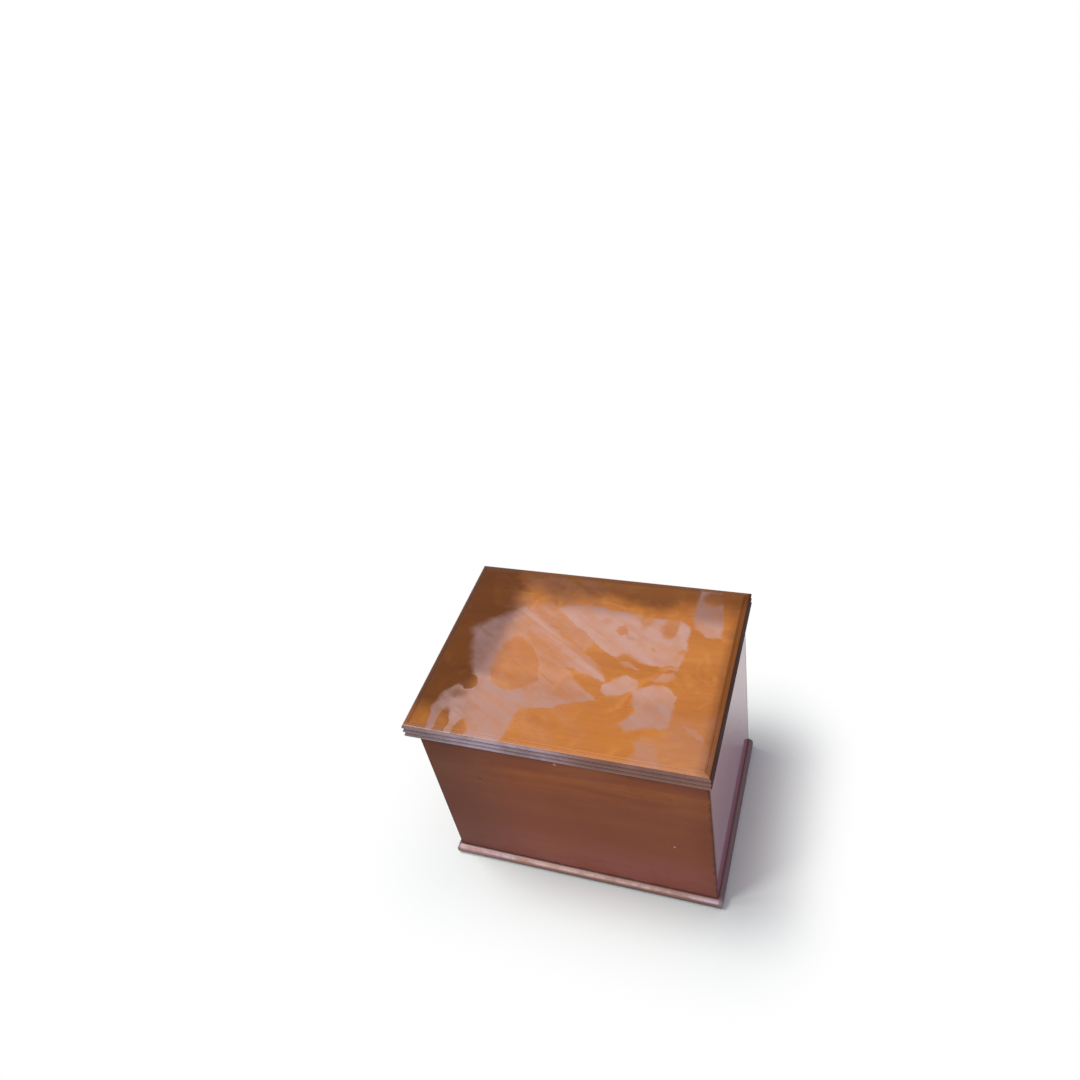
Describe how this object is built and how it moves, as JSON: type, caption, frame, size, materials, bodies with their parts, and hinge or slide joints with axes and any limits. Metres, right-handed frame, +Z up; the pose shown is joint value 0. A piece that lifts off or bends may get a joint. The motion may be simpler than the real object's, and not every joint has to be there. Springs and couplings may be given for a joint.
{
  "type": "wooden box",
  "caption": "Rectangular mahogany storage box with a hinged, overhanging lid edged in a reeded moulding, plain lapped boards and a round-edged base",
  "frame": {"origin": "on the floor, under the middle of the lid's outline", "axes": "+X to the right along the front, +Y from front to back, +Z up; the lid hinges at the back"},
  "size_m": [0.404, 0.31, 0.328],
  "materials": {
    "lid_mahogany": "orange-brown polished mahogany, glossy, with patches of pale bloom",
    "moulding_mahogany": "reeded mahogany moulding, polished, worn along the reeds",
    "carcass_mahogany": "red-brown polished mahogany outside, dry stained wood inside",
    "base_mahogany": "red-brown polished round edge, scuffed",
    "block_pine": "bare pine glue blocks, darkened with age",
    "hinge_brass": "aged cast brass",
    "pin_steel": "plain steel pin",
    "screw_steel": "darkened slotted steel screws"
  },
  "bodies": {
    "carcass": {"base_board": "base_mahogany", "front_panel": "carcass_mahogany", "back_panel": "carcass_mahogany", "left_side": "carcass_mahogany", "right_side": "carcass_mahogany", "corner_block_front_left": "block_pine", "corner_block_front_right": "block_pine", "corner_block_back_right": "block_pine", "corner_block_back_left": "block_pine", "base_screws": "screw_steel", "back_leaf_left": "hinge_brass", "back_leaf_right": "hinge_brass", "hinge_pin_left": "pin_steel", "hinge_pin_right": "pin_steel", "back_leaf_screws": "hinge_brass"},
    "lid": {"lid_panel": "lid_mahogany", "lid_moulding_front": "moulding_mahogany", "lid_moulding_back": "moulding_mahogany", "lid_moulding_left": "moulding_mahogany", "lid_moulding_right": "moulding_mahogany", "lid_leaf_left": "hinge_brass", "lid_leaf_right": "hinge_brass", "lid_leaf_screws": "hinge_brass"}
  },
  "joints": [
    {"name": "lid_hinge", "type": "hinge", "parent": "carcass", "child": "lid", "pos_m": [0, 0.141, 0.304], "axis": [-1, 0, 0], "range_deg": [0, 103]}
  ]
}
